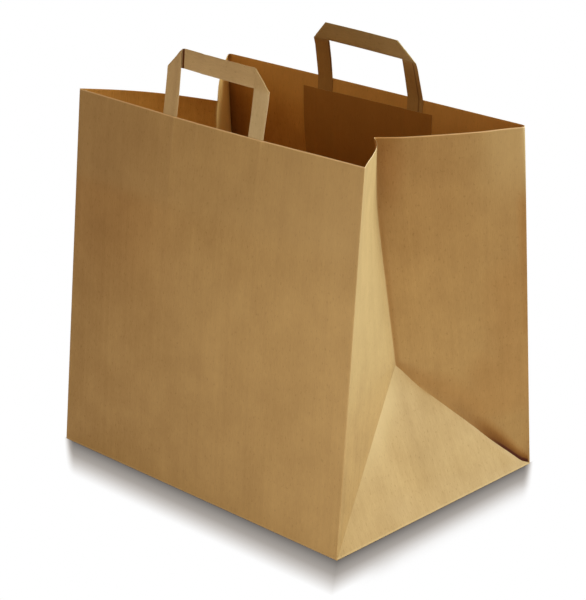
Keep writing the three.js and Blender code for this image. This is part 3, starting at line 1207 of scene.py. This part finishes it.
def warm_shade_mark(at):
    """Painted warm shade of paper that is lit by other paper more than by the lamps: beside the folds and
    creases of the far half, at the foot of the near half, and at the left of the front panel. The strongest
    one shows."""
    in_glow = at.over_fold / ((fold_glow_from - at.from_corner) * fold_glow_share)
    fold = in_glow.fade(0.3, 1.05, warm_shade["fold"]) * at.from_corner.rise(20 * MM, 45 * MM)
    edge = at.from_corner.fade(15 * MM, 75 * MM, warm_shade["edge"]) * at.up.fade(170 * MM, 230 * MM)
    low_edge = at.from_corner.fade(40 * MM, 85 * MM, warm_shade["low_edge"]) * at.up.fade(95 * MM, 150 * MM)
    edge = edge.larger(low_edge) * at.up.rise(35 * MM, 65 * MM)
    edge_strip = at.from_corner.fade(3 * MM, 15 * MM, warm_shade["edge_strip"]) * at.up.rise(100 * MM, 130 * MM)
    edge_strip = edge_strip * at.up.fade(238 * MM, 262 * MM)
    high_crease = at.from_crease.fade(2 * MM, 40 * MM, warm_shade["high_crease"])
    high_crease = high_crease * at.up.rise(200 * MM, 290 * MM)
    crease = at.from_crease.fade(1 * MM, 9 * MM, warm_shade["crease"])
    slit = at.in_slit_width.fade(0.05, 1.1) * at.from_corner.fade(22 * MM, 58 * MM, 0.84, 0.66) * at.in_slit
    unlit = (1.0 - at.lit_edge * at.from_corner.fade(5 * MM, 80 * MM)) * warm_shade["far_half"]
    far_half = fold.larger(edge, edge_strip, high_crease, crease, slit, unlit) * at.far_half
    near_foot = at.up.fade(85 * MM, 150 * MM, warm_shade["near_foot"]) * at.near_half
    front = at.in_stiff_zone.fade(0.0, 1.0, warm_shade["front"], warm_shade["stiff_zone"])
    front = front * at.up.rise(90 * MM, 225 * MM) * at.front_left
    return far_half.larger(near_foot, front)


# %% Marks of the inside
# Strengths of painted shade at the back left corner and of painted light on the inside.
valley_dark, beside_valley_dark, ridge_dark = 0.55, 0.42, 0.20
far_left_light, back_rim_light = 0.68, 0.35


def inside_marks(at):
    """Pinch shade is painted shade in the pinched corner at the back left, on the paper beside it and on the
    ridge of the left crease. Painted light lightens the far half of the left gusset, which faces the lamps,
    and the back panel just below its rim."""
    left_crease = left_start + half_gusset
    before_left = at.around.below(left_start)
    high = at.up.rise(120 * MM, 200 * MM)
    corner_line = at.around.away(left_start).fade(1 * MM, 6 * MM, valley_dark)
    beside = (left_start - at.around).fade(2 * MM, 42 * MM, beside_valley_dark) * before_left
    beside = beside * at.up.fade(262 * MM, 300 * MM, last=0.2)
    ridge = at.around.away(left_crease).fade(0.0, 5 * MM, ridge_dark)
    valley = corner_line.larger(beside, ridge) * high
    far_left = at.around.above(left_start) * at.around.below(left_crease) * far_left_light
    back_rim = before_left * at.below_rim.fade(8 * MM, 45 * MM, back_rim_light)
    return valley, far_left.larger(back_rim) * high


# %% Fold marks group
def fold_marks_group():
    """Rubbed and lit (rubbed fibres with painted light and sheen), Edge highlight (painted highlight of the
    cut rim), Shade (painted shade where light is kept out), Warm shade (painted shade of paper lit by other
    paper), and for the inside Pinch shade (painted shade of the pinched corner) and Painted light (paper
    that faces the lamps)."""
    group, place, leave = paper_group("fold marks", ["Wear", "Edge highlight", "Shade", "Warm shade", "Pinch shade", "Painted light"])
    at = sheet_places(group, place)
    rubbed_and_lit_mark(at).into(leave["Wear"])
    # Painted highlight along the cut rim.
    at.below_rim.fade(0.4 * MM, 1.3 * MM).into(leave["Edge highlight"])
    shade_mark(at).into(leave["Shade"])
    warm_shade_mark(at).into(leave["Warm shade"])
    valley, pale = inside_marks(at)
    valley.into(leave["Pinch shade"])
    pale.into(leave["Painted light"])
    return group


marks_group = fold_marks_group()
print("fold marks group", len(marks_group.nodes), "nodes")


# %% [markdown]
# ## Paper materials
#
# Each paper is a rough shader whose colour runs between a dark and a light brown with the fibre tone. The
# body adds the marks of its folds, rubbed fibres together with painted light and painted shade. The strips
# of the handles have painted shade where one layer closes over another, at places on the unfolded strip that
# the UV gives. Paper could also be made translucent. Instead, the inside of the sheet is a brighter copy of
# the paper, painted light that stands in for light through the sheet and between its walls, and the patches
# and the rear strip are darker copies, painted shade.

# %% Painted shade of a folded strip
line_end = 2 * MM


def strip_painted_shade(tree, place, lines, tints):
    """Painted shade and painted warm shade of a folded strip. A line is (True if it runs along the strip,
    middle, width, start, end, depth), and a tint is (start, end, first, last), which fades along the strip."""
    across, length = parted(tree, place)
    shades = []
    for along, middle, width, start, end, depth in lines:
        over, beside = (length, across) if along else (across, length)
        line = beside.away(middle).fade(0.4 * width, width, depth)
        shades.append(line * over.rise(start, start + line_end) * over.fade(end - line_end, end))
    tones = [length.fade(*tint) for tint in tints]
    return shades[0].larger(*shades[1:]), tones[0].larger(*tones[1:])


# %% Paper material
sheen = 0.38
rough_dark, rough_light = 0.72, 0.56
# Colour of rubbed fibres, used as well for painted light, sheen and highlights.
rubbed_and_lit_paper = (0.66, 0.46, 0.21)
# Colour of painted light on the inside.
painted_light_paper = (0.92, 0.58, 0.20)
# Colour of the painted highlight along the cut rim.
rim_highlight_paper = (0.93, 0.66, 0.36)
# Colour of painted warm shade, multiplied into the paper.
warm_shade_tint = (0.64, 0.335, 0.0)
# Colour of painted shade, multiplied into the paper.
deep_shade = (0.19, 0.065, 0.0)


def tinted(shown, factor, colour, blend="MIX"):
    """Lays a colour over the one shown so far, by a factor, and returns the result."""
    tree = factor.tree
    node = new_node(tree, "ShaderNodeMix", data_type="RGBA", blend_type=blend)
    node.inputs["B"].default_value = (*colour, 1)
    factor.into(node.inputs["Factor"])
    tree.links.new(shown, node.inputs["A"])
    return node.outputs["Result"]


def paper_material(name, dark, light, sheet_side=None, lines=(), tints=()):
    """Kraft paper between two colours with fibre relief. The sheet's outer side has rubbed folds with
    painted light and sheen, a painted highlight on the rim, and painted shade and painted warm shade in its
    folds. Its inner side has painted shade in the pinched corner and painted light. A strip has the painted
    shade lines and tints of its layers."""
    material = bpy.data.materials.new(name)
    material.use_nodes = True
    tree = material.node_tree
    tree.nodes.clear()
    place = new_node(tree, "ShaderNodeUVMap", uv_map="paper").outputs["UV"]
    fibre = new_node(tree, "ShaderNodeGroup", node_tree=fibre_group)
    tree.links.new(place, fibre.inputs["Paper"])
    tone = Wire(tree, fibre.outputs["Tone"])
    colour = new_node(tree, "ShaderNodeMix", data_type="RGBA")
    colour.inputs["A"].default_value = (*dark, 1)
    colour.inputs["B"].default_value = (*light, 1)
    tone.into(colour.inputs["Factor"])
    shown = colour.outputs["Result"]
    shade = warm = None
    if sheet_side:
        node = new_node(tree, "ShaderNodeGroup", node_tree=marks_group)
        tree.links.new(place, node.inputs["Paper"])
        marks = {output.name: Wire(tree, output) for output in node.outputs}
    # Outer side: rubbed fibres with painted light, a painted rim highlight, painted shade and painted warm
    # shade.
    if sheet_side == "outer":
        shown = tinted(shown, marks["Wear"], rubbed_and_lit_paper)
        shown = tinted(shown, marks["Edge highlight"], rim_highlight_paper)
        shade, warm = marks["Shade"], marks["Warm shade"]
    # Inner side: painted light, and painted shade in the pinched corner.
    if sheet_side == "inner":
        shown = tinted(shown, marks["Painted light"], painted_light_paper)
        shade = marks["Pinch shade"]
    if lines:
        shade, warm = strip_painted_shade(tree, place, lines, tints)
    rough = tone.fade(0.0, 1.0, rough_dark, rough_light)
    # Painted warm shade and painted shade darken the colour.
    if warm:
        shown = tinted(shown, warm, warm_shade_tint, blend="MULTIPLY")
    if shade:
        shown = tinted(shown, shade, deep_shade, blend="MULTIPLY")
        dull = shade.larger(warm) if warm else shade
        rough = rough.larger(dull.rise(0.0, 0.8))
    relief = new_node(tree, "ShaderNodeBump")
    relief.inputs["Strength"].default_value = 0.25
    relief.inputs["Distance"].default_value = 0.06 * MM
    tree.links.new(fibre.outputs["Relief"], relief.inputs["Height"])
    surface = new_node(tree, "ShaderNodeBsdfPrincipled")
    surface.inputs["Specular IOR Level"].default_value = sheen
    tree.links.new(shown, surface.inputs["Base Color"])
    rough.into(surface.inputs["Roughness"])
    tree.links.new(relief.outputs["Normal"], surface.inputs["Normal"])
    output = new_node(tree, "ShaderNodeOutputMaterial")
    tree.links.new(surface.outputs["BSDF"], output.inputs["Surface"])
    return material


# %% The papers of the bag
body_paper = paper_material(
    "kraft body", (0.37, 0.214, 0.072), (0.63, 0.408, 0.160), sheet_side="outer")
# The inside paper is a brighter, more saturated copy of the kraft, painted light that stands in for light
# through the sheet and between its walls.
inside_lit_paper = paper_material(
    "kraft inside", (0.435, 0.189, 0.034), (0.835, 0.440, 0.103), sheet_side="inner")
left_corner = fold_at + strip_width / 2
left_lap = fold_at - strip_width / 2
right_lap = 2 * strip_middle - left_lap
lap_soft = 4 * MM
# On the front strip, the line is a painted shadow in the gap where the left leg's inner edge lies over the
# grip, and the tint is painted shade on the left leg and the grip.
front_strip_paper = paper_material(
    "kraft front strip", (0.50, 0.36, 0.187), (0.75, 0.588, 0.33),
    lines=[(False, left_corner + 0.8 * MM, 1.4 * MM, -12 * MM, 12 * MM, 1.0)],
    tints=[(right_lap - lap_soft, right_lap + lap_soft, 0.26, 0.0)])
# The rear strip is a darker copy of the strip paper, painted shade. Its lines are painted shade along a
# lapped edge of each leg, and its tints are painted shade on both legs below the grip.
rear_strip_shaded_paper = paper_material(
    "kraft rear strip", (0.445, 0.312, 0.135), (0.69, 0.515, 0.25),
    lines=[
        (True, -3.8 * MM, 1.0 * MM, right_lap, strip_end, 0.5),
        (True, 7.3 * MM, 1.2 * MM, 6 * MM, left_lap, 0.6),
    ],
    tints=[
        (left_lap - lap_soft, left_lap + lap_soft, 0.60, 0.0),
        (right_lap - lap_soft, right_lap + lap_soft, 0.0, 0.45),
    ])
# The patch paper is a darker copy of the kraft, painted shade where the patch keeps that light out.
patch_shaded_paper = paper_material("kraft patch", (0.345, 0.152, 0.028), (0.49, 0.228, 0.043))
cut_edge = paper_material("kraft cut edge", (0.50, 0.32, 0.15), (0.72, 0.50, 0.25))

papers = [
    (body, [body_paper, inside_lit_paper, cut_edge]),
    (front_handle, [front_strip_paper]),
    (rear_handle, [rear_strip_shaded_paper]),
    (front_patch, [patch_shaded_paper, cut_edge]),
    (rear_patch, [patch_shaded_paper, cut_edge]),
]
for piece, finishes in papers:
    for finish in finishes:
        piece.data.materials.append(finish)
print("papers:", [finish.name for finish in bpy.data.materials])


# %% [markdown]
# ## Light
#
# A broad lamp behind the bag on the right lights the near half of the gusset and the base triangle, and a
# weak one at the back left lights the back panel and the left gusset. One above fills in, and a low one
# in front reaches the front panel and the far half, together with the light that the white table throws
# back. The inside gets little of all this and stays deep brown. One large lamp would be simpler, but it
# would light all panels alike.

# %% Studio
def area_lamp(name, place, target, size, power, colour):
    """A rectangular lamp at a place, turned to face a target."""
    data = bpy.data.lights.new(name, "AREA")
    data.shape = "RECTANGLE"
    data.size, data.size_y = size
    data.energy = power
    data.color = colour
    lamp = bpy.data.objects.new(name, data)
    bpy.context.scene.collection.objects.link(lamp)
    back = np.array(place, float) - np.array(target, float)
    back = back / np.linalg.norm(back)
    side = np.cross([0.0, 0.0, 1.0], back)
    side = side / np.linalg.norm(side)
    matrix = np.eye(4)
    matrix[:3, 0] = side
    matrix[:3, 1] = np.cross(back, side)
    matrix[:3, 2] = back
    matrix[:3, 3] = place
    lamp.matrix_world = matrix.T.tolist()
    return lamp


bag_middle = (0.0, 0.0, 0.15)
front_foot = (0.10, -0.1, 0.13)
area_lamp("key lamp", (1.05, 1.31, 0.66), bag_middle, (1.0, 1.0), 32.5, (0.76, 0.95, 1.0))
area_lamp("top lamp", (0.35, 0.0, 1.7), bag_middle, (1.0, 1.0), 5.6, (0.90, 1.0, 0.66))
area_lamp("low front lamp", (0.46, -0.64, 0.05), front_foot, (0.7, 0.12), 2.26, (0.97, 1.0, 1.0))
area_lamp("left back lamp", (-1.15, 1.0, 0.62), bag_middle, (0.8, 0.8), 5.0, (0.9, 0.95, 1.0))

world = bpy.data.worlds.new("studio")
bpy.context.scene.world = world
world.use_nodes = True
sky = world.node_tree.nodes["Background"]
sky.inputs["Color"].default_value = (1.0, 0.69, 0.43, 1)
sky.inputs["Strength"].default_value = 0.335
print("lamps", len(bpy.data.lights))

# %% [markdown]
# ## Floor
#
# The bag stands on a white table with a painted band of shadow in front of it and at its right. A table that
# is shown as pure white shows no shadow of the lamps, so its material paints the band, worked out from the
# outline of the base. The band fades along the way from the bag, and each of its two ends has a soft,
# straight side at a corner of the base.

# %% White table
board_colour = (0.56, 0.50, 0.41, 1)
to_lamps = {"X": -0.60, "Y": 0.42, "Z": 0.68}
contact_reach = 46 * MM
contact_share = 0.8
band_start = 0.555
band_fall = 9.0
band_behind = -2 * MM
right_spread = 0.82

# Ends of the band: a corner of the base, the direction into the shadow, and its soft side's start and
# end.
shadow_ends = [
    (-panel_width / 2, -half_gusset, 0.627, 0.779, -2.5 * MM, 7 * MM),
    (panel_width / 2, half_gusset, -0.810, -0.586, -4.5 * MM, 5 * MM),
]

# Greys of the shadow between its darkest tone and white: open light, grey, and how warm the grey is.
darkest_light, darkest_tone = 0.40, (0.105, 0.094, 0.086, 1)
white_light, white_tone = 0.97, (1.0, 1.0, 1.0, 1)
shadow_greys = [
    (0.48, 0.20, 1.0),
    (0.56, 0.29, 1.0),
    (0.66, 0.38, 1.0),
    (0.78, 0.60, 0.6),
    (0.90, 0.86, 0.2),
]
grey_warmth = np.array([0.05, -0.03, -0.10])


def shadow_band(tree):
    """How dark the band is: band_start - band_fall * d, with d the way back to the outline of the base
    along the shadow, which spreads less on the right, and 0 past the band's two ends. The shade of the
    contact, a short occlusion towards the lamps, is added where it is the darker."""
    place = new_node(tree, "ShaderNodeTexCoord").outputs["Object"]
    x, y = parted(tree, place)
    past_right = (x - panel_width / 2) / (right_spread * math.sin(camera_turn))
    past_front = (y + half_gusset) / -math.cos(camera_turn)
    way_back = past_right.larger(past_front)
    band = (band_start - way_back * band_fall).larger(0.0) * way_back.above(band_behind)
    direction = new_node(tree, "ShaderNodeCombineXYZ")
    for axis, amount in to_lamps.items():
        direction.inputs[axis].default_value = amount
    occlusion = new_node(tree, "ShaderNodeAmbientOcclusion", samples=24)
    occlusion.inputs["Distance"].default_value = contact_reach
    tree.links.new(direction.outputs["Vector"], occlusion.inputs["Normal"])
    contact = (1.0 - Wire(tree, occlusion.outputs["AO"])) * contact_share
    dark = band.larger(contact)
    for end_x, end_y, in_x, in_y, soft_from, soft_to in shadow_ends:
        inwards = new_node(tree, "ShaderNodeVectorMath", operation="DOT_PRODUCT")
        inwards.inputs[1].default_value = (in_x, in_y, 0.0)
        tree.links.new(place, inwards.inputs[0])
        past_end = Wire(tree, inwards.outputs["Value"]) - (end_x * in_x + end_y * in_y)
        dark = dark * past_end.rise(soft_from, soft_to)
    return dark


def floor_material():
    """White table. It lights the bag as plain white board does. Seen directly it is white, with a painted
    band of shadow worked out from the outline of the base."""
    material = bpy.data.materials.new("white table")
    material.use_nodes = True
    tree = material.node_tree
    tree.nodes.clear()
    board = new_node(tree, "ShaderNodeBsdfDiffuse")
    board.inputs["Color"].default_value = board_colour
    rays = new_node(tree, "ShaderNodeLightPath").outputs
    camera_ray = Wire(tree, rays["Is Camera Ray"])
    seen = camera_ray.larger(Wire(tree, rays["Is Glossy Ray"]), Wire(tree, rays["Is Transmission Ray"]))
    tones = new_node(tree, "ShaderNodeValToRGB")
    steps = tones.color_ramp.elements
    steps[0].position, steps[0].color = darkest_light, darkest_tone
    steps[1].position, steps[1].color = white_light, white_tone
    for light, grey, warm in shadow_greys:
        steps.new(light).color = (*(grey * (1 + warm * grey_warmth)).tolist(), 1)
    (1.0 - shadow_band(tree)).into(tones.inputs["Fac"])
    shown = new_node(tree, "ShaderNodeEmission")
    tree.links.new(tones.outputs["Color"], shown.inputs["Color"])
    both = new_node(tree, "ShaderNodeMixShader")
    seen.into(both.inputs["Fac"])
    tree.links.new(board.outputs["BSDF"], both.inputs[1])
    tree.links.new(shown.outputs["Emission"], both.inputs[2])
    output = new_node(tree, "ShaderNodeOutputMaterial")
    tree.links.new(both.outputs["Shader"], output.inputs["Surface"])
    return material


# %% Floor
floor_half = 6.0
floor_count = 9
floor_lines = np.linspace(-floor_half, floor_half, floor_count)
floor_x, floor_y = np.meshgrid(floor_lines, floor_lines)
floor_points = np.stack([floor_x, floor_y, np.zeros_like(floor_x)], axis=-1).reshape(-1, 3)
floor_mesh = bpy.data.meshes.new("floor")
floor_mesh.from_pydata(floor_points.tolist(), [], grid_faces(floor_count, floor_count).tolist())
floor = bpy.data.objects.new("floor", floor_mesh)
bpy.context.scene.collection.objects.link(floor)
floor_mesh.materials.append(floor_material())
print("floor", 2 * floor_half, "m wide")

# %% [markdown]
# ## Pieces on the body
#
# Every piece rides on the one body and stands for its solid, which is hidden.

# %% Finish
for piece, node, slot in [
    (body, "bag_body", "kraft_body"),
    (front_handle, "front_handle", "kraft_handle"),
    (rear_handle, "rear_handle", "kraft_handle"),
    (front_patch, "front_handle_patch", "kraft_patch"),
    (rear_patch, "rear_handle_patch", "kraft_patch"),
]:
    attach(piece, "root")
    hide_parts(node)

bpy.context.scene.view_settings.view_transform = "Standard"
